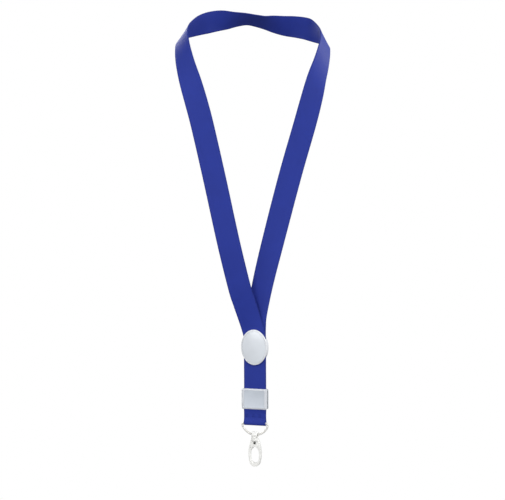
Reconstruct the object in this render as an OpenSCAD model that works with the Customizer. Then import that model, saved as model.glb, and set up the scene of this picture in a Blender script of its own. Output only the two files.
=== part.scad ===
// Neck lanyard, hanging as it is worn.
// Frame: X to the wearer's left, -Y away from the wearer, +Z up, millimetres.
// Origin: middle of the strap at the back of the neck.

/* [Strap] */
// Width of the webbing
strap_w = 20; // [16:0.5:24]
// Thickness of the webbing
strap_t = 0.9; // [0.6:0.02:1.1]
// Gap between the two layers where they lie together
layer_gap = 0.3; // [0.2:0.05:0.5]

/* [Heights] */
// Depth of the neck in front of its back, down which the fittings hang
neck_depth = 60; // [50:1:70]
// Drop from the back of the neck to the middle of the slider
slider_drop = 297.5; // [292:0.5:305]
// Drop from the back of the neck to the middle of the buckle
buckle_drop = 343; // [342:0.5:346]
// Drop from the middle of the buckle to the straight bar of the D-ring
ring_drop = 21.5; // [20:0.5:30]

/* [Slider] */
// How far the oval reaches past each edge of the webbing
slider_side = 1.75; // [1.4:0.05:4]
// Height of the oval
slider_h = 31; // [26:0.5:40]
// Thickness of the front shell in front of the strap
slider_face_t = 2.4; // [1.8:0.1:3.5]
// Thickness of the rear plate behind the strap
slider_rear_t = 1.5; // [1.2:0.1:2.5]
// Width of the rim around the label
slider_rim = 1; // [0.8:0.1:2]
// Depth of the recess that holds the label
label_depth = 0.8; // [0.5:0.1:1.2]

/* [Buckle] */
// How far the housing reaches past each edge of the webbing
buckle_side = 1.7; // [1.6:0.05:4]
// Height of the housing
buckle_h = 18; // [17.5:0.5:24]
// Wall at the front and the back
shell_wall = 1.1; // [0.8:0.05:1.6]
// Diameter of the plug's bar, which the lower strap loops over
plug_bar_d = 1.4; // [1.2:0.05:1.8]
// Depth of the pocket that the plug slides into
plug_pocket = 9; // [8.6:0.1:10]
// Thickness of the plug
plug_t = 2.4; // [2:0.1:2.8]

/* [D-ring] */
// Diameter of the ring's wire
wire_d = 2; // [1.6:0.1:2.4]
// Room beside each edge of the webbing on the straight bar
ring_ease = 0.1; // [0.1:0.05:1.5]
// Depth of the ring from its bar to the lowest point of its wire's axis
ring_depth = 10.1; // [8.4:0.1:13]

/* [Hook] */
// Overall width of the hook
hook_w = 11.4; // [10.4:0.1:14]
// Length of the hook below its gate rivet
hook_len = 21; // [19:0.5:26]
// Thickness of the hook
hook_t = 3.4; // [3.2:0.1:4.4]
// Width of the wall around the hook's opening
hook_wall = 1.6; // [1.4:0.1:2]
// Diameter of the swivel stem
stem_d = 2.4; // [2:0.02:2.9]
// Diameter of the gate rivet
rivet_d = 2; // [1.6:0.1:2.2]

/* [Hidden] */
$fn = 48;
// Clearance of plastic parts that slide over each other or over webbing
slide_gap = 0.25;
// Radial running clearance of pins in their bores
pin_gap = 0.05;
// Clearance of parts that only sit in a recess
seat_gap = 0.1;
// Half a webbing's stack of two layers, and where each layer's middle lies
stack_half = strap_t + layer_gap / 2;
layer_y = (strap_t + layer_gap) / 2;
// A cut runs this far past the face it opens
past = 1;
// Widths that follow the webbing
slider_w = strap_w + 2 * slider_side;
buckle_w = strap_w + 2 * buckle_side;
bar_len = strap_w + 2 * ring_ease;

// ---------- neck strap ----------

// Route of the neck strap from one end, round the neck, to the other end.
// Each row: x, y, z of the middle of the webbing, then the way its outer face
// looks: degrees turned from -Y towards -X, and degrees tipped up.
ROUTE = [
    [0, -60.6, -340.6, 0, 0],
    [0, -60.6, -328, 0, 0],
    [-0.1, -60.6, -314, 0, 0],
    [-0.1, -60.6, -300, 0, 0],
    [-0.5, -60.6, -288, 0, 0],
    [-2.6, -61, -279, -3, 0],
    [-5.3, -62.9, -269, -8, 0],
    [-8.4, -66.3, -257, -13, 0],
    [-11.6, -69.6, -244, -16, 0],
    [-19.5, -76, -205, -18, 0],
    [-30.5, -81, -150, -18, 0],
    [-40, -85, -105, -17, 0],
    [-45, -86.5, -85, -14, 0],
    [-50, -87, -68, -2, 3],
    [-55, -85, -54, 13, 5],
    [-59, -82, -42, 24, 9],
    [-62, -78, -32, 34, 15],
    [-64, -73, -24, 46, 25],
    [-64, -67, -18, 67, 36],
    [-61, -60, -13.5, 92, 37],
    [-56, -51, -8.5, 111, 29],
    [-49, -42.5, -4.5, 122, 23],
    [-42, -34, -1.5, 125, 31],
    [-34.5, -26, 0, 124, 48],
    [-26.5, -18, 2, 124, 63],
    [-18, -10, 3, 142, 74],
    [-9.5, -3, 2, 178, 66],
    [0, 0, 0, 186, 48],
    [11, 0, -2.5, 193, 33],
    [22.5, -4, -5, 201, 20],
    [34, -9, -8.5, 210, 8],
    [44, -16, -14, 229, 20],
    [51.5, -23, -19, 248, 28],
    [56, -29, -24, 270, 22],
    [57, -34, -32, 282, 11],
    [56.5, -39, -41, 291, 6],
    [55, -43, -50.5, 300, 3],
    [52.5, -47, -62, 312, 1],
    [49, -50.5, -79, 327, -2],
    [43, -53, -103, 338, -2],
    [30.5, -55, -147, 345, 0],
    [15.5, -56.5, -204, 356, 0],
    [6.5, -57, -240, 366, 0],
    [1.2, -58.2, -268, 372, 0],
    [-0.1, -59.1, -279, 363, 0],
    [-0.3, -59.4, -288, 360, 0],
    [-0.1, -59.4, -300, 360, 0],
    [-0.1, -59.4, -314, 360, 0],
    [0, -59.4, -328, 360, 0],
    [0, -59.4, -340.6, 360, 0]
];
// Steps of the sweep between two points of the route
ROUTE_STEPS = 1;

function unit(v) = v / norm(v);

// Smooth curve through rows p, at row i and fraction t towards the next one.
function row(p, i) = p[max(0, min(len(p) - 1, i))];
function smooth_at(p, i, t) =
    let (a = row(p, i - 1), b = row(p, i), c = row(p, i + 1), d = row(p, i + 2))
    0.5 * (2 * b + (c - a) * t + (2 * a - 5 * b + 4 * c - d) * t * t
        + (3 * b - a - 3 * c + d) * t * t * t);
function smooth_rows(p, steps) = [
    for (i = [0 : len(p) - 2], k = [0 : steps - 1]) smooth_at(p, i, k / steps),
    p[len(p) - 1]
];

function place(r) = [r[0], r[1], r[2]];
function facing(r) = [-sin(r[3]) * cos(r[4]), -cos(r[3]) * cos(r[4]), sin(r[4])];
function along(p, i) = unit(place(row(p, i + 1)) - place(row(p, i - 1)));

// Corners of the webbing's section at row i, thinned at its two edges.
function section(p, i) =
    let (
        c = place(p[i]),
        s = unit(cross(along(p, i), facing(p[i]))),
        n = cross(s, along(p, i)),
        w = strap_w / 2,
        t = strap_t / 2,
        e = strap_t * 0.6
    )
    [
        c + s * (w - e) + n * t, c + s * w + n * t * 0.4,
        c + s * w - n * t * 0.4, c + s * (w - e) - n * t,
        c - n * t,
        c - s * (w - e) - n * t, c - s * w - n * t * 0.4,
        c - s * w + n * t * 0.4, c - s * (w - e) + n * t,
        c + n * t
    ];

// The faces of both sides are split along the same slant, so that a twisted
// stretch keeps its thickness.
module sweep_webbing(rows) {
    sides = 10;
    rings = len(rows);
    points = [for (i = [0 : rings - 1]) each section(rows, i)];
    walls = [
        for (i = [0 : rings - 2], k = [0 : sides - 1])
            let (a = i * sides + k, b = i * sides + (k + 1) % sides)
            each k > 1 && k < 7
                ? [[a, b, a + sides], [b, b + sides, a + sides]]
                : [[a, b, b + sides], [a, b + sides, a + sides]]
    ];
    end = (rings - 1) * sides;
    cap = [[0, 1, 2], [0, 2, 3], [0, 3, 4], [0, 4, 9], [9, 4, 5], [9, 5, 8], [8, 5, 6], [8, 6, 7]];
    first = [for (t = cap) [t[2], t[1], t[0]]];
    last = [for (t = cap) [end + t[0], end + t[1], end + t[2]]];
    polyhedron(points, concat(walls, first, last));
}

module neck_strap() {
    color("mediumblue") sweep_webbing(smooth_rows(ROUTE, ROUTE_STEPS));
}

// ---------- shared shapes ----------

// A shape drawn in X and Z, standing t thick in Y with its front face at y.
module upright(y, t) {
    translate([0, y + t, 0]) rotate([90, 0, 0]) linear_extrude(t) children();
}

// A pin along Y from y0 to y1.
module pin_y(x, z, d, y0, y1) {
    translate([x, y1, z]) rotate([90, 0, 0]) cylinder(d = d, h = y1 - y0);
}

// A pin or wire along X, centred on x = 0.
module pin_x(y, z, d, length) {
    translate([-length / 2, y, z]) rotate([0, 90, 0]) cylinder(d = d, h = length);
}

// Oval outline by formula.
function oval(w, h, n = 72) = [
    for (k = [0 : n - 1]) let (a = 360 * k / n) [w / 2 * cos(a), h / 2 * sin(a)]
];

// Rectangle with round corners by formula.
function round_rect(w, h, r, n = 6) = [
    for (q = [0 : 3], k = [0 : n])
        let (
            a = 90 * q + 90 * k / n,
            cx = (q == 0 || q == 3 ? 1 : -1) * (w / 2 - r),
            cy = (q < 2 ? 1 : -1) * (h / 2 - r)
        )
        [cx + r * cos(a), cy + r * sin(a)]
];

// ---------- slider ----------

// Half the width of the slot that the strap runs through
slot_half = strap_w / 2 + 2 * slide_gap;
slider_front_y = -stack_half - slide_gap - slider_face_t;
slider_rear_y = stack_half + slide_gap + slider_rear_t;
// Plane where the two shells of the slider meet
slider_joint_y = stack_half * 0.3;
label_w = slider_w - 2 * slider_rim;
label_h = slider_h - 2 * slider_rim;
// Two small pins join the shells, one on each side of the strap
snap_pin_d = 0.7;
snap_pin_x = (slot_half + slider_w / 2) / 2;
snap_pin_len = 1.2;

// The slider sits loosely on the strap, a little to one side and leaning
slider_aside = 0.2;
slider_lean = 2.5;

module at_slider() {
    translate([-slider_aside, -neck_depth, -slider_drop]) rotate([0, -slider_lean, 0])
        children();
}

// The slot the strap runs through, flared where the strap comes in and out.
module strap_slot() {
    y = stack_half + slide_gap;
    wide = y + 0.6;
    knee = slider_h / 2 - 3.5;
    end = slider_h / 2 + past;
    translate([-slot_half, 0, 0]) rotate([90, 0, 90]) linear_extrude(2 * slot_half)
        polygon([[-wide, -end], [wide, -end], [y, -knee], [y, knee],
            [wide, end], [-wide, end], [-y, knee], [-y, -knee]]);
}

module slider_front() {
    bevel = 0.5;
    color("gainsboro") at_slider() difference() {
        union() {
            upright(slider_front_y + bevel, slider_joint_y - slider_front_y - bevel)
                polygon(oval(slider_w, slider_h));
            upright(slider_front_y, bevel)
                polygon(oval(slider_w - 2 * bevel, slider_h - 2 * bevel));
        }
        upright(slider_front_y - past, label_depth + past)
            polygon(oval(label_w, label_h));
        strap_slot();
        for (side = [-1, 1])
            pin_y(side * snap_pin_x, 0, snap_pin_d + 2 * pin_gap,
                slider_joint_y - snap_pin_len - seat_gap, slider_joint_y + past);
    }
}

module slider_label() {
    w = label_w - 2 * seat_gap;
    h = label_h - 2 * seat_gap;
    t = label_depth - seat_gap;
    color("whitesmoke") at_slider()
        upright(slider_front_y + seat_gap, t) polygon(oval(w, h));
}

// The rear plate grips the strap with a springy tongue cut into it.
module slider_rear() {
    tongue_w = 8;
    tongue_h = 11;
    cut = 0.8;
    color("gainsboro") at_slider() {
        difference() {
            upright(slider_joint_y, slider_rear_y - slider_joint_y)
                polygon(oval(slider_w, slider_h));
            strap_slot();
            upright(stack_half, slider_rear_t + slide_gap + past) difference() {
                translate([-tongue_w / 2, -tongue_h / 2]) square([tongue_w, tongue_h]);
                translate([cut - tongue_w / 2, -tongue_h / 2])
                    square([tongue_w - 2 * cut, tongue_h - cut]);
            }
        }
        for (side = [-1, 1])
            pin_y(side * snap_pin_x, 0, snap_pin_d,
                slider_joint_y - snap_pin_len, slider_joint_y + 0.2);
    }
}

// ---------- buckle ----------

// Looseness of the lower strap's loop on its two bars
loop_ease = 0.1;
// The hollow takes the lower strap's loop over the plug's bar
cavity_half_t = plug_bar_d / 2 + loop_ease + strap_t + seat_gap;
buckle_t = 2 * (cavity_half_t + shell_wall);
mouth_half_t = stack_half + slide_gap;
// Pocket for the strap's crimped ends, and below it the pocket for the plug
crimp_half_w = strap_w / 2 + 0.3;
arm_t = 0.5;
plug_half_w = strap_w / 2 + seat_gap + arm_t;
plug_pocket_half_w = plug_half_w + slide_gap;
septum = 0.9;
pocket_top = -buckle_h / 2 + plug_pocket;
crimp_h = 4.6;
crimp_wall = 0.4;
crimp_low = pocket_top + septum + seat_gap;
// Posts that join the two shells, beside the crimp
post_d = 0.7;
post_len = 1.3;
post_x = (crimp_half_w + buckle_w / 2) / 2;
post_rows = [crimp_low + 0.8, crimp_low + crimp_h + 0.8];
// Round beads on the plug's sides, which click into dimples in the housing
bead_z = pocket_top - 3.4;
bead_d = 0.8;
bead_out = 0.1;

module at_buckle() translate([0, -neck_depth, -buckle_drop]) children();

module box_hollow(half_w, half_t, z0, z1) {
    translate([-half_w, -half_t, z0]) cube([2 * half_w, 2 * half_t, z1 - z0]);
}

// All that is open inside the closed housing.
module buckle_hollow() {
    box_hollow(crimp_half_w, cavity_half_t, crimp_low - seat_gap, crimp_low + crimp_h + seat_gap);
    box_hollow(crimp_half_w, mouth_half_t, crimp_low, buckle_h);
    box_hollow(plug_pocket_half_w, cavity_half_t, -buckle_h, pocket_top);
    for (side = [-1, 1])
        pin_y(side * plug_pocket_half_w, bead_z, bead_d, -plug_t / 2, plug_t / 2);
}

// One shell: half the housing's thickness, with a sloped edge round its outer face.
module shell_blank(t) {
    slope_in = 1.1;
    slope_back = 0.7;
    w = buckle_w / 2;
    h = buckle_h / 2;
    intersection() {
        upright(-t, t) polygon(round_rect(buckle_w, buckle_h, 1.6));
        translate([-w - past, 0, 0]) rotate([90, 0, 90]) linear_extrude(2 * w + 2 * past)
            polygon([[-t, slope_in - h], [slope_back - t, -h - 0.01], [past, -h - 0.01],
                [past, h + 0.01], [slope_back - t, h + 0.01], [-t, h - slope_in]]);
        translate([0, 0, -h - past]) linear_extrude(2 * h + 2 * past)
            polygon([[slope_in - w, -t], [w - slope_in, -t], [w + 0.01, slope_back - t],
                [w + 0.01, past], [-w - 0.01, past], [-w - 0.01, slope_back - t]]);
    }
}

module buckle_front() {
    panel_w = buckle_w - 5;
    panel_h = buckle_h - 2.8;
    panel_depth = 0.25;
    color("silver") at_buckle() difference() {
        shell_blank(buckle_t / 2);
        buckle_hollow();
        translate([-panel_w / 2, -buckle_t / 2 - past, -panel_h / 2])
            cube([panel_w, panel_depth + past, panel_h]);
        for (side = [-1, 1], z = post_rows)
            pin_y(side * post_x, z, post_d + 2 * pin_gap, -post_len - seat_gap, past);
    }
}

module buckle_rear() {
    color("silver") at_buckle() {
        difference() {
            mirror([0, 1, 0]) shell_blank(buckle_t / 2);
            buckle_hollow();
        }
        for (side = [-1, 1], z = post_rows)
            pin_y(side * post_x, z, post_d, -post_len, 0.2);
    }
}

// Folded metal strip that holds the strap's two ends together.
module strap_end_crimp() {
    outer = stack_half + crimp_wall;
    half_w = strap_w / 2 + seat_gap;
    floor_t = 0.6;
    color("darkgray") at_buckle() difference() {
        box_hollow(half_w, outer, crimp_low, crimp_low + crimp_h);
        box_hollow(half_w + past, stack_half, crimp_low + floor_t, crimp_low + 2 * crimp_h);
    }
}

plug_bar_z = -buckle_h / 2 + 1.5;
plug_top = pocket_top - slide_gap;
// Lower edge of the tongue, clear of the strap's loop over the bar
tongue_low = plug_bar_z + plug_bar_d / 2 + strap_t + 0.5;

// A tongue that fills the pocket, two arms, and the bar that the strap loops over.
module buckle_plug() {
    slit_w = 0.6;
    side_w = 2.4;
    color("silver") at_buckle() {
        difference() {
            box_hollow(plug_half_w, plug_t / 2, tongue_low, plug_top);
            // slits that make the tongue's two sides springy
            for (side = [-1, 1])
                translate([side * (plug_half_w - side_w), 0, tongue_low + 1])
                    box_hollow(slit_w / 2, plug_t, 0, buckle_h);
        }
        for (side = [-1, 1]) {
            pin_y(side * (plug_half_w + bead_out - bead_d / 2), bead_z, bead_d,
                -plug_t / 2, plug_t / 2);
            translate([side * (plug_half_w - arm_t / 2), 0, 0])
                box_hollow(arm_t / 2, plug_bar_d / 2, plug_bar_z - plug_bar_d / 2,
                    tongue_low + 0.5);
        }
        pin_x(0, plug_bar_z, plug_bar_d, 2 * plug_half_w - arm_t);
    }
}

// ---------- lower strap ----------

// Heights in this section are from the D-ring's bar.
bar_above_ring = ring_drop + plug_bar_z;
plug_turn_r = plug_bar_d / 2 + loop_ease + strap_t / 2;
ring_turn_r = wire_d / 2 + loop_ease + 0.05 + strap_t / 2;
// The stretch where stitches hold the two layers together
stitch_low = 5.2;
stitch_high = 8.4;
LOOP_STEPS = 8;
ARC_STEPS = 12;

module at_ring() translate([0, -neck_depth, -buckle_drop - ring_drop]) children();

function ease(a, b, u) = a + (b - a) * (1 - cos(180 * u)) / 2;

// Upper and lower stretch of the loop, as distance from its middle plane.
function loop_side(d) = concat(
    [for (k = [0 : LOOP_STEPS]) let (u = k / LOOP_STEPS)
        [ease(ring_turn_r, layer_y, u) + d, stitch_low * u]],
    [for (k = [0 : LOOP_STEPS]) let (u = k / LOOP_STEPS)
        [ease(layer_y, plug_turn_r, u) + d,
            stitch_high + (bar_above_ring - stitch_high) * u]]
);

// Outline of the loop, moved d outward from the middle of the webbing.
function loop_outline(d) = concat(
    [for (k = [-ARC_STEPS : -1]) let (a = 90 * k / ARC_STEPS)
        [(ring_turn_r + d) * cos(a), (ring_turn_r + d) * sin(a)]],
    loop_side(d),
    [for (k = [1 : ARC_STEPS]) let (a = 90 * k / ARC_STEPS)
        [(plug_turn_r + d) * cos(a), bar_above_ring + (plug_turn_r + d) * sin(a)]]
);

// The whole closed outline, front layer and back layer.
function whole_loop(d) = let (p = loop_outline(d))
    concat(p, [for (k = [len(p) - 2 : -1 : 1]) [-p[k][0], p[k][1]]]);

module lower_strap() {
    color("mediumblue") at_ring() translate([-strap_w / 2, 0, 0])
        rotate([90, 0, 90]) linear_extrude(strap_w) difference() {
            polygon(whole_loop(strap_t / 2));
            polygon(whole_loop(-strap_t / 2));
        }
}

// Two rows of lock stitches through both layers of the lower strap.
module loop_stitches() {
    thread_d = 0.36;
    stitches = 6;
    pitch = (strap_w - 2.6) / stitches;
    out = stack_half + thread_d / 4;
    rows = [stitch_low + 0.8, stitch_high - 0.8];
    color("darkblue") at_ring() for (z = rows) translate([0, 0, z]) {
        for (k = [0 : stitches])
            pin_y((k - stitches / 2) * pitch, 0, thread_d, -out, out);
        for (k = [0 : stitches - 1]) {
            face = k % 2 == 0 ? -1 : 1;
            translate([(k - (stitches - 1) / 2) * pitch, face * out, 0])
                pin_x(0, 0, thread_d, pitch + thread_d);
        }
    }
}

// ---------- D-ring ----------

bend_r = 1.6;
bend_x = bar_len / 2;
// Radius of the ring's long curve, which meets both bends smoothly
curve_r = (bend_x * bend_x + pow(ring_depth - bend_r, 2) - bend_r * bend_r)
    / (2 * (ring_depth - 2 * bend_r));
curve_half_angle = atan2(bend_x, curve_r + bend_r - ring_depth);

// Arc of wire in the plane of X and Z.
module wire_arc(x, z, r, from, sweep, d) {
    translate([x, 0, z]) rotate([90, 0, 0]) rotate([0, 0, from])
        rotate_extrude(angle = sweep) translate([r, 0]) circle(d = d);
}

// The bends are drawn a touch thinner than the bar and the long curve, where
// the wire is worked, and run a degree into both.
module d_ring() {
    bend_sweep = 180 - curve_half_angle;
    bend_d = wire_d - 0.04;
    lap = 1;
    color("whitesmoke") at_ring() {
        pin_x(0, 0, wire_d, bar_len);
        wire_arc(bend_x, -bend_r, bend_r, 90 - bend_sweep - lap, bend_sweep + 2 * lap, bend_d);
        wire_arc(-bend_x, -bend_r, bend_r, 90 - lap, bend_sweep + 2 * lap, bend_d);
        wire_arc(0, curve_r - ring_depth, curve_r, 270 - curve_half_angle,
            2 * curve_half_angle, wire_d);
    }
}

// ---------- swivel eye ----------

// Heights from here down are from the lowest point of the ring's wire axis.
eye_w = 5;
eye_ease = 0.55;
eye_drop = 0.2;
eye_wall = 1.5;
eye_hole_r = wire_d / 2 + eye_ease;
base_low = -eye_drop - eye_hole_r - 0.85;
base_t = 0.7;
neck_d = stem_d + 4;
neck_top = base_low - 0.15;
neck_roof = 1.2;
head_d = stem_d + 1.3;
head_t = 0.9;
head_top = neck_top - neck_roof - seat_gap;

module at_wire() {
    translate([0, -neck_depth, -buckle_drop - ring_drop - ring_depth]) children();
}

// A loop over the ring's wire, on a round base with a headed stem below it.
module swivel_eye() {
    outer_r = eye_hole_r + eye_wall;
    color("whitesmoke") at_wire() {
        difference() {
            union() {
                intersection() {
                    pin_x(0, -eye_drop, 2 * outer_r, eye_w);
                    translate([-eye_w, -outer_r, base_low]) cube([2 * eye_w, 2 * outer_r, 3 * outer_r]);
                }
                translate([0, 0, base_low]) cylinder(d = neck_d, h = base_t);
            }
            pin_x(0, -eye_drop, 2 * eye_hole_r, 2 * eye_w);
        }
        translate([0, 0, head_top]) cylinder(d = stem_d, h = base_low - head_top);
        translate([0, 0, head_top - head_t]) cylinder(d = head_d, h = head_t);
    }
}

// ---------- hook ----------

shaft_d = 0.8 * rivet_d;
root_r = 1.5;
root_ease = 0.15;
rivet_z = head_top - head_t - seat_gap - 0.3 - root_r - root_ease;
hook_low = rivet_z - hook_len;
widest_z = rivet_z - 0.45 * hook_len;
// Outer edge: two long side curves and a round toe
side_r = 31;
side_x = side_r - hook_w / 2;
toe_r = 0.415 * hook_w;
toe_z = hook_low + toe_r;
shoulder_top = rivet_z + 2.4;
// Opening: the same curves moved in, a round toe and a pointed arch
toe_wall = 2 * hook_wall;
inner_toe_r = 0.78 * toe_r;
inner_toe_z = hook_low + toe_wall + inner_toe_r;
arch_r = 6.5;
arch_half = hook_w / 2 - hook_wall - 0.2;
arch_z = widest_z + 0.4;
// The gate lies below this level and ends this far from its rivet
gate_top = rivet_z - 3.8;
nose_r = hook_len - 4.4;
gate_gap = 0.3;
tab_t = 1.4;
slot_t = tab_t + 0.3;
slot_right = 2;

module at_hook() { at_wire() children(); }

// Lens between the two side curves, moved in by d.
module side_lens(d) {
    intersection_for (side = [-1, 1])
        translate([side * side_x, widest_z]) circle(r = side_r - d, $fn = 180);
}

module band(low, high) translate([-hook_w, low]) square([2 * hook_w, high - low]);

module hook_outline() {
    intersection() {
        side_lens(0);
        band(toe_z - 1.2, shoulder_top);
    }
    translate([0, toe_z]) circle(r = toe_r);
}

module hook_opening() {
    intersection() {
        side_lens(hook_wall);
        band(inner_toe_z, arch_z);
    }
    translate([0, inner_toe_z]) circle(r = inner_toe_r);
    intersection_for (side = [-1, 1])
        translate([side * (arch_r - arch_half), arch_z]) circle(r = arch_r);
}

// The left wall's stretch that the gate closes, within r of the rivet.
module gate_stretch(r, top, right) {
    intersection() {
        translate([0, rivet_z]) circle(r = r, $fn = 180);
        translate([-hook_w, hook_low]) square([hook_w + right, top - hook_low]);
    }
}

// A plate with two cheeks for the gate, under a round neck that the stem turns in.
module hook_body() {
    stem_bore = stem_d + 2 * pin_gap;
    pocket_top_z = neck_top - neck_roof;
    pocket_h = head_t + 2 * seat_gap;
    neck_low = pocket_top_z - pocket_h;
    color("whitesmoke") at_hook() difference() {
        union() {
            upright(-hook_t / 2, hook_t) difference() {
                hook_outline();
                hook_opening();
                gate_stretch(nose_r, gate_top, -1);
            }
            translate([0, 0, neck_low]) cylinder(d = neck_d, h = neck_top - neck_low);
            translate([0, 0, neck_low - 0.7])
                cylinder(d1 = neck_d - 1.8, d2 = neck_d, h = 0.7);
        }
        translate([0, 0, neck_low + 0.3]) cylinder(d = stem_bore, h = neck_top - neck_low + past);
        translate([0, 0, neck_low]) cylinder(d = head_d + 0.4, h = pocket_h);
        upright(-slot_t / 2, slot_t)
            translate([-hook_w, rivet_z - 8]) square([hook_w + slot_right, 8 + root_r + root_ease]);
        pin_y(0, rivet_z, shaft_d, -hook_t, hook_t);
    }
}

// The sprung gate: the left wall, and a thin tab that turns on the rivet.
module hook_gate() {
    wall_top = gate_top - gate_gap;
    tab_low = wall_top - 1;
    // inside the wall's outer edge, at the gate's top
    tab_x = 1.1 - hook_w / 2;
    ridges = 3;
    color("whitesmoke") at_hook() difference() {
        union() {
            upright(-hook_t / 2, hook_t) difference() {
                intersection() {
                    hook_outline();
                    gate_stretch(nose_r - gate_gap, wall_top, -1.3);
                }
                hook_opening();
            }
            upright(-tab_t / 2, tab_t) {
                translate([0, rivet_z]) circle(r = root_r);
                polygon([[-1.35, rivet_z + 0.4], [1.35, rivet_z - 0.6], [tab_x + 2.7, tab_low],
                    [tab_x, tab_low], [tab_x, gate_top + 0.4]]);
            }
            for (k = [0 : ridges - 1])
                pin_y(0.15 - hook_w / 2, wall_top - 2 - 0.9 * k, 0.7, -hook_t / 2, hook_t / 2);
        }
        pin_y(0, rivet_z, shaft_d + 2 * pin_gap, -hook_t, hook_t);
    }
}

module gate_rivet() {
    head_h = 0.4;
    reach = hook_t / 2;
    color("dimgray") at_hook() {
        pin_y(0, rivet_z, shaft_d, -reach, reach);
        pin_y(0, rivet_z, rivet_d + 0.2, -reach - head_h, -reach);
        pin_y(0, rivet_z, rivet_d + 0.2, reach, reach + head_h);
    }
}

// Bent leaf between the slot's wall and the gate's tab.
module gate_spring() {
    leaf_t = 0.25;
    leaf_w = 1;
    x = slot_right - 0.05;
    color("silver") at_hook() translate([0, 0, rivet_z]) upright(-leaf_w / 2, leaf_w)
        polygon([[x, 1.1], [x, -2], [0.1, -2.95], [0, -2.95 + leaf_t],
            [x - leaf_t, -2 + leaf_t], [x - leaf_t, 1.1]]);
}

neck_strap();
slider_front();
slider_label();
slider_rear();
buckle_front();
buckle_rear();
strap_end_crimp();
buckle_plug();
lower_strap();
loop_stitches();
d_ring();
swivel_eye();
hook_body();
hook_gate();
gate_rivet();
gate_spring();
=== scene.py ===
"""Looks of a neck lanyard: webbing loop, oval slider, snap buckle, D-ring and swivel hook."""

import math

import bmesh
import bpy
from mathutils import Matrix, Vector


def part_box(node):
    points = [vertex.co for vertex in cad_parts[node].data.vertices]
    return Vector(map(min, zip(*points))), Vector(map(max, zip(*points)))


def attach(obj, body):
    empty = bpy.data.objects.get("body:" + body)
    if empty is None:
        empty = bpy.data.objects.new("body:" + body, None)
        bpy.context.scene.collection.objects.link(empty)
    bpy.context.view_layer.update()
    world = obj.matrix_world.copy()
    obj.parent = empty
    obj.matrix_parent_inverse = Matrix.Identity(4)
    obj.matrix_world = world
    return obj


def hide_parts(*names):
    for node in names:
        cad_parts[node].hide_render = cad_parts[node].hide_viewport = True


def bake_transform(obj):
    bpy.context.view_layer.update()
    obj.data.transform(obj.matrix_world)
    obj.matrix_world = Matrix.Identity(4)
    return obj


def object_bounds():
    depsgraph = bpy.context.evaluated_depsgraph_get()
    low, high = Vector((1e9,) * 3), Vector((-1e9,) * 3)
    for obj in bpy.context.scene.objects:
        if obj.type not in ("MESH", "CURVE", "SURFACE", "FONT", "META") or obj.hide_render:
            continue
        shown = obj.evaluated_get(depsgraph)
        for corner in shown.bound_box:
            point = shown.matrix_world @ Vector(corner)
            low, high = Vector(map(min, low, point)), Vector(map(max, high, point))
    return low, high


bl_info = {
    "name": "Neck lanyard",
    "version": (1, 0, 0),
    "blender": (4, 5, 0),
    "location": "View3D > Sidebar > Lanyard",
    "description": "Builds the looks of a neck lanyard around its fixed frame",
    "category": "Object",
}

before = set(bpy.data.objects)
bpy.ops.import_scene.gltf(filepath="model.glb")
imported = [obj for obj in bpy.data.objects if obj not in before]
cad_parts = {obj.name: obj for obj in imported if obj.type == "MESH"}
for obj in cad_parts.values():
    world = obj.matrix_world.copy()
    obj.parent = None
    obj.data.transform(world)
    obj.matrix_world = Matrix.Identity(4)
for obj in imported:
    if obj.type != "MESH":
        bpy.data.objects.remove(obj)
CAD_BOX = [[float(c) for c in corner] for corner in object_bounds()]

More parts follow.
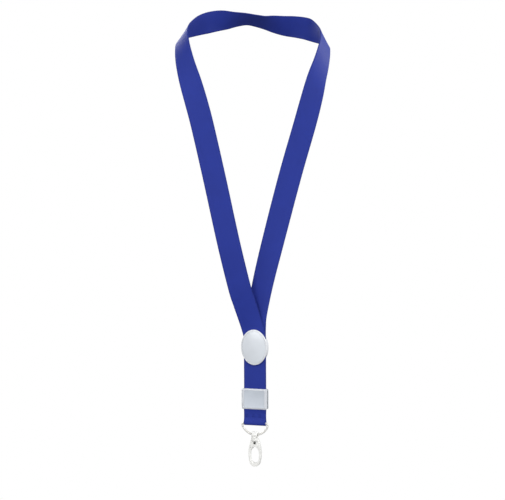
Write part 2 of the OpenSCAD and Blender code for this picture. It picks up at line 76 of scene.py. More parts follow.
# Route of the neck strap from one end, round the neck, to the other end, in metres.
# Each row: x, y, z of the middle of the webbing, then the way its outer face looks:
# degrees turned from -Y towards -X, and degrees tipped up.
NECK_ROUTE = [
    (0, -0.0606, -0.3406, 0, 0),
    (0, -0.0606, -0.328, 0, 0),
    (-0.0001, -0.0606, -0.314, 0, 0),
    (-0.0001, -0.0606, -0.3, 0, 0),
    (-0.0005, -0.0606, -0.288, 0, 0),
    (-0.0026, -0.061, -0.279, -3, 0),
    (-0.0053, -0.0629, -0.269, -8, 0),
    (-0.0084, -0.0663, -0.257, -13, 0),
    (-0.0116, -0.0696, -0.244, -16, 0),
    (-0.0195, -0.076, -0.205, -18, 0),
    (-0.0305, -0.081, -0.15, -18, 0),
    (-0.04, -0.085, -0.105, -17, 0),
    (-0.045, -0.0865, -0.085, -14, 0),
    (-0.05, -0.087, -0.068, -2, 3),
    (-0.055, -0.085, -0.054, 13, 5),
    (-0.059, -0.082, -0.042, 24, 9),
    (-0.062, -0.078, -0.032, 34, 15),
    (-0.064, -0.073, -0.024, 46, 25),
    (-0.064, -0.067, -0.018, 67, 36),
    (-0.061, -0.06, -0.0135, 92, 37),
    (-0.056, -0.051, -0.0085, 111, 29),
    (-0.049, -0.0425, -0.0045, 122, 23),
    (-0.042, -0.034, -0.0015, 125, 31),
    (-0.0345, -0.026, 0, 124, 48),
    (-0.0265, -0.018, 0.002, 124, 63),
    (-0.018, -0.01, 0.003, 142, 74),
    (-0.0095, -0.003, 0.002, 178, 66),
    (0, 0, 0, 186, 48),
    (0.011, 0, -0.0025, 193, 33),
    (0.0225, -0.004, -0.005, 201, 20),
    (0.034, -0.009, -0.0085, 210, 8),
    (0.044, -0.016, -0.014, 229, 20),
    (0.0515, -0.023, -0.019, 248, 28),
    (0.056, -0.029, -0.024, 270, 22),
    (0.057, -0.034, -0.032, 282, 11),
    (0.0565, -0.039, -0.041, 291, 6),
    (0.055, -0.043, -0.0505, 300, 3),
    (0.0525, -0.047, -0.062, 312, 1),
    (0.049, -0.0505, -0.079, 327, -2),
    (0.043, -0.053, -0.103, 338, -2),
    (0.0305, -0.055, -0.147, 345, 0),
    (0.0155, -0.0565, -0.204, 356, 0),
    (0.0065, -0.057, -0.24, 366, 0),
    (0.0012, -0.0582, -0.268, 372, 0),
    (-0.0001, -0.0591, -0.279, 363, 0),
    (-0.0003, -0.0594, -0.288, 360, 0),
    (-0.0001, -0.0594, -0.3, 360, 0),
    (-0.0001, -0.0594, -0.314, 360, 0),
    (0, -0.0594, -0.328, 360, 0),
    (0, -0.0594, -0.3406, 360, 0),
]


# ---------- settings a user would change ----------


def length_property(name, description, default):
    return bpy.props.FloatProperty(
        name=name, description=description, default=default, min=0.0, precision=5,
        subtype="DISTANCE", unit="LENGTH",
    )


def colour_property(name, description, default):
    return bpy.props.FloatVectorProperty(
        name=name, description=description, default=default, size=3, min=0.0, max=1.0,
        subtype="COLOR",
    )


class LanyardSizes(bpy.types.PropertyGroup):
    """Sizes of the webbing, its thread and the rounded edges of the fittings."""

    strap_width: length_property("Strap width", "Width of the webbing", 0.020)
    strap_thickness: length_property("Strap thickness", "Thickness of the webbing", 0.0009)
    strap_length: length_property("Strap length", "Length of webbing round the neck", 0.8352)
    weave_pitch: length_property("Weave pitch", "Spacing of the webbing's threads", 0.00045)
    thread_thickness: length_property("Thread", "Thickness of the sewing thread", 0.00036)
    moulded_edge: length_property("Moulded edge", "Radius of the moulded edges", 0.00030)


class LanyardColours(bpy.types.PropertyGroup):
    """Colours of the webbing and the fittings."""

    webbing: colour_property("Webbing", "Dyed webbing", (0.0175, 0.0325, 0.243))
    thread: colour_property("Thread", "Sewing thread", (0.014, 0.027, 0.21))
    slider: colour_property("Slider", "Slider shells", (0.66, 0.68, 0.71))
    label: colour_property("Label", "Oval label film", (0.585, 0.617, 0.66))
    buckle: colour_property("Buckle", "Buckle housing and plug", (0.53, 0.55, 0.59))
    panel: colour_property("Panel", "Recessed panel of the buckle", (0.485, 0.525, 0.585))
    ring: colour_property("D-ring", "D-ring", (0.68, 0.67, 0.64))
    hook: colour_property("Hook", "Hook, gate and swivel", (0.76, 0.76, 0.74))
    steel: colour_property("Steel", "Rivet, spring and crimp", (0.30, 0.31, 0.30))
    floor: colour_property("Floor", "Studio floor and backdrop", (0.90, 0.90, 0.90))


def sizes():
    return bpy.context.scene.lanyard_sizes


def colours():
    return bpy.context.scene.lanyard_colours


# ---------- node helpers ----------


class Nodes:
    """Short ways to lay out one material's nodes."""

    def __init__(self, name):
        self.material = bpy.data.materials.new(name)
        self.material.use_nodes = True
        self.tree = self.material.node_tree
        self.tree.nodes.clear()
        self.shader = self.add("ShaderNodeBsdfPrincipled")
        output = self.add("ShaderNodeOutputMaterial")
        self.link(self.shader.outputs[0], output.inputs["Surface"])

    def add(self, kind, **values):
        node = self.tree.nodes.new(kind)
        for key, value in values.items():
            setattr(node, key, value)
        return node

    def link(self, source, target):
        self.tree.links.new(source, target)

    def feed(self, socket, value):
        if isinstance(value, bpy.types.NodeSocket):
            self.link(value, socket)
        else:
            socket.default_value = value

    def maths(self, operation, *values):
        node = self.add("ShaderNodeMath", operation=operation)
        for socket, value in zip(node.inputs, values):
            self.feed(socket, value)
        return node.outputs[0]

    def noise(self, vector, scale, detail=3.0, roughness=0.5):
        node = self.add("ShaderNodeTexNoise")
        self.feed(node.inputs["Vector"], vector)
        node.inputs["Scale"].default_value = scale
        node.inputs["Detail"].default_value = detail
        node.inputs["Roughness"].default_value = roughness
        return node.outputs["Fac"]

    def span(self, value, low, high, to_low, to_high):
        node = self.add("ShaderNodeMapRange")
        for socket, number in zip(node.inputs, (value, low, high, to_low, to_high)):
            self.feed(socket, number)
        return node.outputs[0]

    def mix(self, factor, first, second, blend="MIX"):
        node = self.add("ShaderNodeMix", data_type="RGBA", blend_type=blend)
        self.feed(node.inputs["Factor"], factor)
        self.feed(node.inputs["A"], first)
        self.feed(node.inputs["B"], second)
        return node.outputs["Result"]

    def bump(self, height, distance, strength=1.0):
        node = self.add("ShaderNodeBump")
        node.inputs["Strength"].default_value = strength
        node.inputs["Distance"].default_value = distance
        self.feed(node.inputs["Height"], height)
        self.link(node.outputs[0], self.shader.inputs["Normal"])

    def set(self, **values):
        for key, value in values.items():
            self.feed(self.shader.inputs[key.replace("_", " ")], value)


def shade(colour, factor):
    return (colour[0] * factor, colour[1] * factor, colour[2] * factor, 1.0)


# ---------- materials ----------


def webbing_material(name, colour):
    """Dyed polyester webbing: plain weave, ribs across, selvedges and soft folds of tone."""
    made = Nodes(name)
    width = sizes().strap_width
    pitch = sizes().weave_pitch
    uv = made.add("ShaderNodeUVMap", uv_map="Weave")
    split = made.add("ShaderNodeSeparateXYZ")
    made.link(uv.outputs[0], split.inputs[0])
    across, along = split.outputs[0], split.outputs[1]
    warp = made.maths("SINE", made.maths("MULTIPLY", across, 2 * math.pi / pitch))
    weft = made.maths("SINE", made.maths("MULTIPLY", along, math.pi / pitch))
    weave = made.maths("MULTIPLY", warp, weft)
    rib = made.maths("ABSOLUTE", weft)
    # distance from the middle of the webbing, the same on both faces
    middle = made.maths("ABSOLUTE", across)
    selvedge = made.span(middle, width / 2 - 0.0011, width / 2 - 0.0006, 0.0, 1.0)
    tone = made.noise(uv.outputs[0], 45.0, 3.0, 0.55)
    yarn = made.noise(uv.outputs[0], 1600.0, 2.0, 0.6)
    base = made.mix(made.span(tone, 0.3, 0.7, 0.0, 1.0), shade(colour, 0.95), shade(colour, 1.05))
    # painted shade: a little darker in the hollows of the weave, where the threads dip
    base = made.mix(made.span(weave, -1.0, 1.0, 0.10, 0.0), base, shade(colour, 0.62))
    base = made.mix(made.span(yarn, 0.35, 0.7, 0.0, 0.12), base, shade(colour, 1.35))
    base = made.mix(made.maths("MULTIPLY", selvedge, 0.4), base, shade(colour, 0.62))
    rough = made.span(tone, 0.3, 0.7, 0.56, 0.64)
    made.set(Base_Color=base, Roughness=rough)
    made.shader.inputs["Specular IOR Level"].default_value = 0.12
    made.shader.inputs["Sheen Weight"].default_value = 0.05
    made.shader.inputs["Sheen Roughness"].default_value = 0.45
    made.shader.inputs["Sheen Tint"].default_value = (0.35, 0.45, 1.0, 1.0)
    height = made.maths("ADD", made.maths("MULTIPLY", weave, 0.35), made.maths("MULTIPLY", rib, 0.5))
    height = made.maths("ADD", height, made.maths("MULTIPLY", yarn, 0.3))
    made.bump(height, 0.00006, 0.75)
    return made.material


def thread_material(name, colour):
    """Twisted sewing thread, with painted shade in the grooves of the twist and a painted highlight on its
    crests.
    """
    made = Nodes(name)
    place = made.add("ShaderNodeTexCoord").outputs["Object"]
    split = made.add("ShaderNodeSeparateXYZ")
    made.link(place, split.inputs[0])
    slant = made.maths("ADD", split.outputs[0], made.maths("MULTIPLY", split.outputs[2], 1.2))
    ply = made.maths("SINE", made.maths("MULTIPLY", slant, 2 * math.pi / 0.0003))
    # painted shade in the grooves of the twist and painted highlight on its crests
    base = made.mix(made.span(ply, -1.0, 1.0, 0.5, 0.0), shade(colour, 1.15), shade(colour, 0.55))
    made.set(Base_Color=base, Roughness=made.span(ply, -1.0, 1.0, 0.72, 0.52))
    made.shader.inputs["Specular IOR Level"].default_value = 0.1
    made.bump(ply, 0.00005, 0.8)
    return made.material


def moulded_material(name, colour, rough, grain, grain_depth, coat=0.0, fade=0.06):
    """Moulded plastic: fine grain, faint flow marks and dark specks, with a painted highlight on the sharp
    edges.
    """
    made = Nodes(name)
    place = made.add("ShaderNodeTexCoord").outputs["Object"]
    fine = made.noise(place, grain, 3.0, 0.6)
    flow = made.noise(place, 110.0, 2.0, 0.5)
    speck = made.noise(place, 900.0, 1.0, 0.5)
    base = made.mix(made.span(flow, 0.3, 0.7, 0.0, 1.0), shade(colour, 1 - fade), shade(colour, 1 + fade))
    base = made.mix(made.span(speck, 0.62, 0.75, 0.0, 0.12), base, shade(colour, 0.8))
    # painted highlight: lighter where the edges are sharp
    edge = made.add("ShaderNodeNewGeometry").outputs["Pointiness"]
    base = made.mix(made.span(edge, 0.52, 0.60, 0.0, 0.35), base, shade(colour, 1.12))
    made.set(Base_Color=base, Roughness=made.span(fine, 0.3, 0.7, rough - 0.05, rough + 0.06))
    made.shader.inputs["Coat Weight"].default_value = coat
    made.shader.inputs["Coat Roughness"].default_value = 0.18
    made.bump(made.maths("ADD", fine, made.maths("MULTIPLY", flow, 0.6)), grain_depth, 0.6)
    return made.material


def buckle_material(name, colour, panel):
    """Moulded plastic of the buckle, with the satin panel on its front toned a little darker."""
    made = Nodes(name)
    frame_high, frame_wide = 0.0014, 0.0025
    past_edge, panel_reach = 0.0001, 0.0004
    seam_back, seam_half, wall_depth = 0.0008, 0.0011, 0.0006
    low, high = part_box("buckle_front")
    middle_z = (low[2] + high[2]) / 2
    half_high = (high[2] - low[2]) / 2 - frame_high
    half_wide = (high[0] - low[0]) / 2 - frame_wide
    place = made.add("ShaderNodeTexCoord").outputs["Object"]
    split = made.add("ShaderNodeSeparateXYZ")
    made.link(place, split.inputs[0])
    across = made.maths("ABSOLUTE", split.outputs[0])
    upward = made.maths("ABSOLUTE", made.maths("SUBTRACT", split.outputs[2], middle_z))
    depth = split.outputs[1]
    inside = made.maths("LESS_THAN", across, half_wide + past_edge)
    inside = made.maths("MULTIPLY", inside, made.maths("LESS_THAN", upward, half_high + past_edge))
    inside = made.maths("MULTIPLY", inside, made.maths("LESS_THAN", depth, low[1] + panel_reach))
    fine = made.noise(place, 2200.0, 3.0, 0.6)
    flow = made.noise(place, 110.0, 2.0, 0.5)
    tone = made.span(flow, 0.3, 0.7, 0.0, 1.0)
    frame_tone = made.mix(tone, shade(colour, 0.95), shade(colour, 1.05))
    panel_tone = made.mix(tone, shade(panel, 0.97), shade(panel, 1.03))
    # painted shade: darker just inside the panel's edge, where the recess wall meets its floor
    past_side = made.maths("SUBTRACT", across, half_wide)
    past_top = made.maths("SUBTRACT", upward, half_high)
    rim = made.maths("MAXIMUM", past_side, past_top)
    recess_shade = made.span(rim, -0.0007, -0.0001, 0.0, 0.10)
    panel_tone = made.mix(recess_shade, panel_tone, shade(panel, 0.6))
    base = made.mix(inside, frame_tone, panel_tone)
    # painted shade: a dark band on both side walls about the seam between the shells
    from_seam = made.maths("ABSOLUTE", made.maths("SUBTRACT", depth, high[1] - seam_back))
    seam_shade = made.maths("LESS_THAN", from_seam, seam_half)
    wall = made.maths("GREATER_THAN", across, (high[0] - low[0]) / 2 - wall_depth)
    base = made.mix(made.maths("MULTIPLY", seam_shade, wall), base, shade(panel, 0.22))
    # painted highlight: lighter where the edges are sharp
    edge = made.add("ShaderNodeNewGeometry").outputs["Pointiness"]
    base = made.mix(made.span(edge, 0.52, 0.60, 0.0, 0.4), base, shade(colour, 1.2))
    rough = made.mix(inside, made.span(fine, 0.3, 0.7, 0.34, 0.46), made.span(fine, 0.3, 0.7, 0.46, 0.56))
    made.set(Base_Color=base, Roughness=rough)
    made.bump(made.maths("ADD", fine, made.maths("MULTIPLY", flow, 0.6)), 0.000012, 0.6)
    return made.material


def label_material(name, colour):
    """Oval label film: smooth satin, with faint dust and a slow change of tone."""
    made = Nodes(name)
    place = made.add("ShaderNodeTexCoord").outputs["Object"]
    drift = made.noise(place, 60.0, 1.5, 0.5)
    dust = made.noise(place, 1500.0, 2.0, 0.6)
    base = made.mix(made.span(drift, 0.35, 0.65, 0.0, 1.0), shade(colour, 0.965), shade(colour, 1.035))
    base = made.mix(made.span(dust, 0.55, 0.75, 0.0, 0.10), base, shade(colour, 0.82))
    made.set(Base_Color=base, Roughness=made.span(dust, 0.3, 0.7, 0.30, 0.40))
    made.shader.inputs["Coat Weight"].default_value = 0.25
    made.shader.inputs["Coat Roughness"].default_value = 0.12
    made.bump(drift, 0.00004, 0.4)
    return made.material


def steel_material(name, colour, rough, stretch):
    """Steel with fine drawing lines along one direction."""
    made = Nodes(name)
    place = made.add("ShaderNodeTexCoord").outputs["Object"]
    mapping = made.add("ShaderNodeMapping")
    made.link(place, mapping.inputs["Vector"])
    mapping.inputs["Scale"].default_value = stretch
    lines = made.noise(mapping.outputs[0], 2500.0, 3.0, 0.6)
    stain = made.noise(place, 500.0, 2.0, 0.5)
    base = made.mix(made.span(lines, 0.3, 0.7, 0.0, 1.0), shade(colour, 0.85), shade(colour, 1.15))
    base = made.mix(made.span(stain, 0.55, 0.75, 0.0, 0.3), base, shade(colour, 0.6))
    made.set(Base_Color=base, Roughness=made.span(lines, 0.3, 0.7, rough - 0.06, rough + 0.08))
    made.shader.inputs["Metallic"].default_value = 1.0
    made.bump(lines, 0.00001, 0.6)
    return made.material


def studio_material(name, colour):
    """Matt paper of the floor."""
    made = Nodes(name)
    place = made.add("ShaderNodeTexCoord").outputs["Object"]
    grain = made.noise(place, 40.0, 2.0, 0.5)
    base = made.mix(made.span(grain, 0.3, 0.7, 0.0, 1.0), shade(colour, 0.995), shade(colour, 1.005))
    made.set(Base_Color=base, Roughness=0.9)
    made.shader.inputs["Specular IOR Level"].default_value = 0.1
    return made.material


def kept(name, maker, *values, **named):
    """The material of that name, made the first time it is asked for."""
    return bpy.data.materials.get(name) or maker(name, *values, **named)


# ---------- mesh helpers ----------


def new_piece(name, bm, material, body, nodes, smooth_angle):
    """Puts a finished mesh in the scene, on its body if it has one, in place of its CAD nodes."""
    mesh = bpy.data.meshes.new(name)
    bmesh.ops.recalc_face_normals(bm, faces=bm.faces)
    bm.to_mesh(mesh)
    bm.free()
    for face in mesh.polygons:
        face.use_smooth = True
    piece = bpy.data.objects.new(name, mesh)
    bpy.context.scene.collection.objects.link(piece)
    mesh.materials.append(material)
    mesh.set_sharp_from_angle(angle=math.radians(smooth_angle))
    if body:
        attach(piece, body)
    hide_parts(*nodes)
    return piece


def smooth_between(rows, i, t):
    """Smooth curve through the rows, at row i and fraction t towards the next one."""
    last = len(rows) - 1
    a, b, c, d = (rows[max(0, min(last, k))] for k in (i - 1, i, i + 1, i + 2))
    return [
        0.5 * (2 * q + (r - p) * t + (2 * p - 5 * q + 4 * r - s) * t * t + (3 * q - p - 3 * r + s) * t**3)
        for p, q, r, s in zip(a, b, c, d)
    ]


def fine_route(rows, step):
    """The rows' smooth curve as points about step apart."""
    points = []
    for i in range(len(rows) - 1):
        gap = (Vector(rows[i + 1][:3]) - Vector(rows[i][:3])).length
        count = max(2, round(gap / step))
        points += [smooth_between(rows, i, k / count) for k in range(count)]
    points.append(list(rows[-1]))
    return points


def outward(row):
    turn, tip = math.radians(row[3]), math.radians(row[4])
    return Vector((-math.sin(turn) * math.cos(tip), -math.cos(turn) * math.cos(tip), math.sin(tip)))


def webbing_section(width, thickness, across=14):
    """Outline of the webbing: flat faces, thicker selvedges and rounded edges."""
    half, t = width / 2, thickness / 2
    edge = thickness * 0.55
    face = []
    for k in range(across + 1):
        s = -1 + 2 * k / across
        s = math.copysign(abs(s) ** 0.8, s) if s else 0.0
        side = s * (half - edge)
        near_edge = max(0.0, (abs(side) - (half - 0.0012)) / 0.0007)
        face.append((side, t * (0.93 + 0.07 * min(1.0, near_edge))))
    turns = (0.7, 1.2, math.pi - 1.2, math.pi - 0.7)
    rim = [(half - edge + edge * math.sin(a), t * math.cos(a)) for a in turns]
    back = [(s, -n) for s, n in reversed(face)]
    far_rim = [(-s, -n) for s, n in rim]
    return face + rim + back + far_rim


def ribbon(points, faces_out, width, thickness, closed=False):
    """Webbing along points, its outer face looking along faces_out; the map Weave is in metres."""
    bm = bmesh.new()
    weave = bm.loops.layers.uv.new("Weave")
    outline = webbing_section(width, thickness)
    count, sides = len(points), len(outline)
    rings, run, total = [], [], 0.0
    for i, point in enumerate(points):
        if closed:
            before, after = points[(i - 1) % count], points[(i + 1) % count]
        else:
            before, after = points[max(0, i - 1)], points[min(count - 1, i + 1)]
        along = (after - before).normalized()
        side = along.cross(faces_out[i]).normalized()
        normal = side.cross(along)
        rings.append([bm.verts.new(point + side * s + normal * n) for s, n in outline])
        total += (point - points[i - 1]).length if i else 0.0
        run.append(total)
    spans = count if closed else count - 1
    for i in range(spans):
        j = (i + 1) % count
        end_run = run[j] if j else total + (points[0] - points[-1]).length
        for k in range(sides):
            m = (k + 1) % sides
            face = bm.faces.new((rings[i][k], rings[i][m], rings[j][m], rings[j][k]))
            near, far = outline[k][0], outline[m][0]
            corners = ((near, run[i]), (far, run[i]), (far, end_run), (near, end_run))
            for loop, corner in zip(face.loops, corners):
                loop[weave].uv = corner
    if not closed:
        for ring in (rings[0], rings[-1]):
            bm.faces.new(ring)
    return bm


def refined(name, node, material, body, edge, segments=2, angle=38, smooth=32):
    """A node's own shape with its hard edges rounded as a mould or a press leaves them."""
    bm = bmesh.new()
    bm.from_mesh(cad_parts[node].data)
    bmesh.ops.remove_doubles(bm, verts=bm.verts, dist=1e-6)
    bmesh.ops.dissolve_degenerate(bm, edges=bm.edges, dist=1e-7)
    bmesh.ops.dissolve_limit(bm, angle_limit=math.radians(0.4), verts=bm.verts, edges=bm.edges)
    if edge > 0:
        hard = [e for e in bm.edges if e.is_manifold and e.calc_face_angle(0.0) > math.radians(angle)]
        bmesh.ops.bevel(
            bm, geom=hard, offset=edge, offset_type="OFFSET", segments=segments, profile=0.5,
            affect="EDGES", clamp_overlap=True,
        )
    bmesh.ops.triangulate(bm, faces=[f for f in bm.faces if len(f.verts) > 4])
    return new_piece(name, bm, material, body, [node], smooth_angle=smooth)


def tube(bm, points, radius, sides):
    """Round tube along points."""
    rings = []
    side = None
    for i, point in enumerate(points):
        along = (points[min(len(points) - 1, i + 1)] - points[max(0, i - 1)]).normalized()
        if side is None:
            side = along.orthogonal().normalized()
        side = (side - along * side.dot(along)).normalized()
        other = along.cross(side)
        rings.append([
            bm.verts.new(point + radius * (side * math.cos(a) + other * math.sin(a)))
            for a in (2 * math.pi * k / sides for k in range(sides))
        ])
    for a, b in zip(rings, rings[1:]):
        for k in range(sides):
            m = (k + 1) % sides
            bm.faces.new((a[k], a[m], b[m], b[k]))
    bm.faces.new(rings[0])
    bm.faces.new(rings[-1])


# ---------- pieces ----------


def build_neck_strap():
    points = fine_route(NECK_ROUTE, 0.002)
    places = [Vector(p[:3]) for p in points]
    webbing = kept("DyedWebbing", webbing_material, colours().webbing)
    bm = ribbon(places, [outward(p) for p in points], sizes().strap_width, sizes().strap_thickness)
    strap = new_piece("neck_webbing", bm, webbing, "strap", ["neck_strap"], 50)


def loop_centre_line():
    """Middle of the lower strap's webbing: round the D-ring's bar and over the plug's bar."""
    wire_radius = 0.001
    plug_bar_radius = 0.0007
    ease_on_bar = 0.0001
    layer_gap = 0.0003
    low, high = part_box("lower_strap")
    t = sizes().strap_thickness
    middle_y = (low[1] + high[1]) / 2
    ring_r = (high[1] - low[1]) / 2 - t / 2
    ring_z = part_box("d_ring")[1][2] - wire_radius
    plug_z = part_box("buckle_plug")[0][2] + plug_bar_radius
    plug_r = plug_bar_radius + ease_on_bar + t / 2
    layer = (t + layer_gap) / 2
    stitch_low, stitch_high = ring_z + 0.0052, ring_z + 0.0084

    def ease(a, b, u):
        return a + (b - a) * (1 - math.cos(math.pi * u)) / 2

    half = [(ring_r * math.cos(a), ring_z + ring_r * math.sin(a))
            for a in (math.pi / 2 * k / 12 for k in range(-12, 0))]
    half += [(ease(ring_r, layer, k / 10), ring_z + (stitch_low - ring_z) * k / 10) for k in range(11)]
    half += [(ease(layer, plug_r, k / 10), stitch_high + (plug_z - stitch_high) * k / 10) for k in range(11)]
    half += [(plug_r * math.cos(a), plug_z + plug_r * math.sin(a))
             for a in (math.pi / 2 * k / 12 for k in range(1, 13))]
    around = half + [(-y, z) for y, z in reversed(half[1:-1])]
    return [Vector((0.0, middle_y + y, z)) for y, z in around]


def build_lower_strap():
    places = loop_centre_line()
    count = len(places)
    faces_out = []
    for i in range(count):
        along = (places[(i + 1) % count] - places[(i - 1) % count]).normalized()
        faces_out.append(along.cross(Vector((1, 0, 0))).normalized())
    webbing = kept("DyedWebbing", webbing_material, colours().webbing)
    bm = ribbon(places, faces_out, sizes().strap_width, sizes().strap_thickness, closed=True)
    new_piece("lower_webbing", bm, webbing, "plug", ["lower_strap"], 50)


def build_stitches():
    """Two rows of lock stitches: short rounded bridges of thread, on one face and the other."""
    low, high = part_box("loop_stitches")
    thread = kept("SewingThread", thread_material, colours().thread)
    radius = sizes().thread_thickness / 2
    middle_y = (low[1] + high[1]) / 2
    reach = (high[1] - low[1]) / 2 - radius
    first, last = low[0] + radius, high[0] - radius
    bm = bmesh.new()
    count = 6
    pitch = (last - first) / count
    for z in (low[2] + radius, high[2] - radius):
        for face in (-1, 1):
            for k in range(count):
                x0, x1 = first + k * pitch, first + (k + 1) * pitch
                front = (k % 2 == 0) == (face < 0)
                lift = reach if front else reach * 0.15
                line = []
                for n in range(9):
                    u = n / 8
                    arch = min(1.0, math.sin(math.pi * u) * 2.2)
                    y = middle_y + face * lift * (0.35 + 0.65 * arch)
                    line.append(Vector((x0 + (x1 - x0) * u, y, z)))
                tube(bm, line, radius, 8)
    new_piece("loop_thread", bm, thread, "plug", ["loop_stitches"], 60)


def build_slider():
    edge = sizes().moulded_edge
    shell = kept("SliderPlastic", moulded_material, colours().slider, 0.30, 1400.0, 0.00001, 0.3)
    film = kept("LabelFilm", label_material, colours().label)
    refined("slider_front_shell", "slider_front", shell, "slider", edge)
    refined("slider_rear_plate", "slider_rear", shell, "slider", edge * 0.8)
    refined("slider_label_film", "slider_label", film, "slider", edge * 0.6)


def build_buckle():
    edge = sizes().moulded_edge
    plastic = kept("BucklePlastic", buckle_material, colours().buckle, colours().panel)
    refined("buckle_front_shell", "buckle_front", plastic, "strap", edge * 0.6)
    refined("buckle_rear_shell", "buckle_rear", plastic, "strap", edge * 0.6)
    refined("buckle_plug_tongue", "buckle_plug", plastic, "plug", edge * 0.5)


def build_crimp():
    steel = kept("CrimpSteel", steel_material, shade(colours().steel, 1.7)[:3], 0.34, (1.0, 1.0, 0.08))
    refined("strap_crimp", "strap_end_crimp", steel, "strap", 0.00012)


def build_ring():
    plastic = kept("RingPlastic", moulded_material, colours().ring, 0.30, 1600.0, 0.00001, 0.3)
    refined("ring_wire", "d_ring", plastic, "ring", 0.0, smooth=60)


def build_hook():
    edge = sizes().moulded_edge
    plastic = kept("HookPlastic", moulded_material, colours().hook, 0.30, 1500.0, 0.00001, 0.35)
    rivet = kept("RivetSteel", steel_material, shade(colours().steel, 0.6)[:3], 0.36, (1.0, 0.1, 1.0))
    spring = kept("SpringSteel", steel_material, shade(colours().steel, 1.8)[:3], 0.28, (1.0, 1.0, 0.1))
    refined("swivel_eye_loop", "swivel_eye", plastic, "eye", edge * 0.8, smooth=40)
    refined("hook_frame", "hook_body", plastic, "hook", edge * 1.3, 3, smooth=40)
    refined("hook_gate_arm", "hook_gate", plastic, "gate", edge * 0.7, smooth=40)
    refined("gate_pivot", "gate_rivet", rivet, "hook", 0.00018, 3)
    leaf = refined("gate_leaf", "gate_spring", spring, None, 0.00005)
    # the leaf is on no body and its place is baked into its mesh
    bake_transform(leaf)


# ---------- camera, light and floor ----------


def add_camera():
    target = Vector((-0.0022, -0.06067, -0.212))
    turn = math.radians(17.0)
    data = bpy.data.cameras.new("StudioCamera")
    data.lens = 70.0
    data.sensor_width = 36.0
    data.clip_start = 0.02
    data.clip_end = 30.0
    camera = bpy.data.objects.new("StudioCamera", data)
    camera.location = target + 0.865 * Vector((math.sin(turn), -math.cos(turn), 0.0))
    camera.rotation_euler = (math.pi / 2, 0.0, turn)
    bpy.context.scene.collection.objects.link(camera)
    bpy.context.scene.camera = camera


def add_light(name, place, aim, size, power, colour=(1.0, 1.0, 1.0)):
    data = bpy.data.lights.new(name, "AREA")
    data.shape = "RECTANGLE"
    data.size, data.size_y = size
    data.energy = power
    data.color = colour
    light = bpy.data.objects.new(name, data)
    light.location = place
    light.rotation_euler = (Vector(aim) - Vector(place)).to_track_quat("-Z", "Y").to_euler()
    bpy.context.scene.collection.objects.link(light)


def add_floor():
    """Plain pale floor, as far below the lanyard as a standing wearer's feet."""
    paper = kept("StudioPaper", studio_material, colours().floor)
    floor_z = CAD_BOX[0][2] - 1.05
    half = 0.7
    bm = bmesh.new()
    corners = ((-half, -half), (half, -half), (half, half), (-half, half))
    bm.faces.new([bm.verts.new((x, y, floor_z)) for x, y in corners])
    mesh = bpy.data.meshes.new("studio_floor")
    bm.to_mesh(mesh)
    bm.free()
    floor = bpy.data.objects.new("studio_floor", mesh)
    mesh.materials.append(paper)
    bpy.context.scene.collection.objects.link(floor)


def add_air():
    """White surroundings behind the lanyard, which light it only a little."""
    world = bpy.data.worlds.new("StudioAir")
    bpy.context.scene.world = world
    world.use_nodes = True
    nodes, links = world.node_tree.nodes, world.node_tree.links
    seen = nodes.new("ShaderNodeLightPath")
    strength = nodes.new("ShaderNodeMapRange")
    strength.inputs["To Min"].default_value = 0.12
    strength.inputs["To Max"].default_value = 1.0
    links.new(seen.outputs["Is Camera Ray"], strength.inputs["Value"])
    links.new(strength.outputs[0], nodes["Background"].inputs["Strength"])
    nodes["Background"].inputs["Color"].default_value = (1.0, 1.0, 1.0, 1.0)


def add_studio_light():
    bpy.context.scene.view_settings.view_transform = "Standard"
    middle = (0.0, -0.06, -0.2)
    add_light("LeftSoftbox", (-1.15, -0.75, 0.15), middle, (0.9, 1.2), 7.0)
    add_light("RightSoftbox", (1.15, -0.85, 0.15), middle, (0.9, 1.2), 16.0)
    add_light("FrontSoftbox", (-0.25, -1.7, 0.35), middle, (1.0, 1.0), 17.0)
    add_light("TopSoftbox", (-0.3, -0.9, 1.15), middle, (0.9, 0.9), 3.0)
    for side in (-1, 1):
        add_light("BackSoftbox", (side * 1.1, 0.8, 0.25), middle, (0.7, 0.9), 20.0)


# ---------- operators, panel and registration ----------


class LANYARD_OT_stage(bpy.types.Operator):
    """Set up the camera, the studio light and the floor"""

    bl_idname = "lanyard.stage"
    bl_label = "Camera, light and floor"

    def execute(self, context):
        add_camera()
        add_floor()
        add_air()
        add_studio_light()
        return {"FINISHED"}


class LANYARD_OT_neck_strap(bpy.types.Operator):
    """Weave the strap that goes round the neck"""

    bl_idname = "lanyard.neck_strap"
    bl_label = "Neck strap"

    def execute(self, context):
        build_neck_strap()
        return {"FINISHED"}


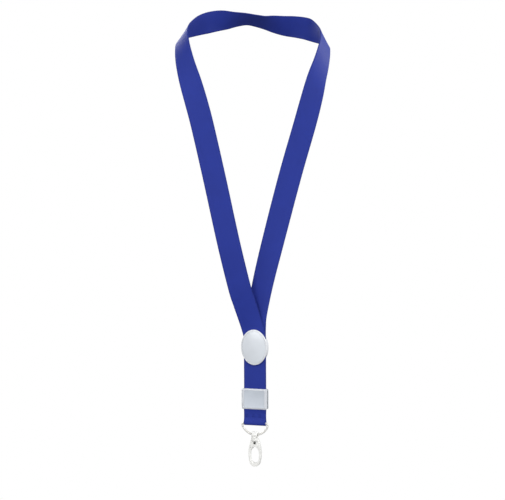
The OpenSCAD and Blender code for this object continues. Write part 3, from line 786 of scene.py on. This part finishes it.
class LANYARD_OT_lower_strap(bpy.types.Operator):
    """Make the lower strap's sewn loop"""

    bl_idname = "lanyard.lower_strap"
    bl_label = "Lower strap and stitches"

    def execute(self, context):
        build_lower_strap()
        build_stitches()
        return {"FINISHED"}


class LANYARD_OT_slider(bpy.types.Operator):
    """Make the oval slider and its label"""

    bl_idname = "lanyard.slider"
    bl_label = "Oval slider"

    def execute(self, context):
        build_slider()
        return {"FINISHED"}


class LANYARD_OT_buckle(bpy.types.Operator):
    """Make the buckle's shells, its plug and the strap's crimp"""

    bl_idname = "lanyard.buckle"
    bl_label = "Buckle"

    def execute(self, context):
        build_buckle()
        build_crimp()
        return {"FINISHED"}


class LANYARD_OT_hook(bpy.types.Operator):
    """Make the D-ring, the swivel eye and the snap hook"""

    bl_idname = "lanyard.hook"
    bl_label = "D-ring and snap hook"

    def execute(self, context):
        build_ring()
        build_hook()
        return {"FINISHED"}


STEPS = (
    LANYARD_OT_stage, LANYARD_OT_neck_strap, LANYARD_OT_lower_strap,
    LANYARD_OT_slider, LANYARD_OT_buckle, LANYARD_OT_hook,
)


class LANYARD_PT_panel(bpy.types.Panel):
    """Steps and settings of the lanyard"""

    bl_label = "Neck lanyard"
    bl_idname = "LANYARD_PT_panel"
    bl_space_type = "VIEW_3D"
    bl_region_type = "UI"
    bl_category = "Lanyard"

    def draw(self, context):
        for group in (context.scene.lanyard_sizes, context.scene.lanyard_colours):
            for name in group.__annotations__:
                self.layout.prop(group, name)
        for step in STEPS:
            self.layout.operator(step.bl_idname)


CLASSES = (LanyardSizes, LanyardColours, *STEPS, LANYARD_PT_panel)


def register():
    for cls in CLASSES:
        bpy.utils.register_class(cls)
    bpy.types.Scene.lanyard_sizes = bpy.props.PointerProperty(type=LanyardSizes)
    bpy.types.Scene.lanyard_colours = bpy.props.PointerProperty(type=LanyardColours)


def unregister():
    del bpy.types.Scene.lanyard_colours
    del bpy.types.Scene.lanyard_sizes
    for cls in reversed(CLASSES):
        bpy.utils.unregister_class(cls)


def main():
    register()
    for step in STEPS:
        group, name = step.bl_idname.split(".")
        getattr(getattr(bpy.ops, group), name)()
    bpy.context.view_layer.update()


if __name__ == "__main__":
    main()
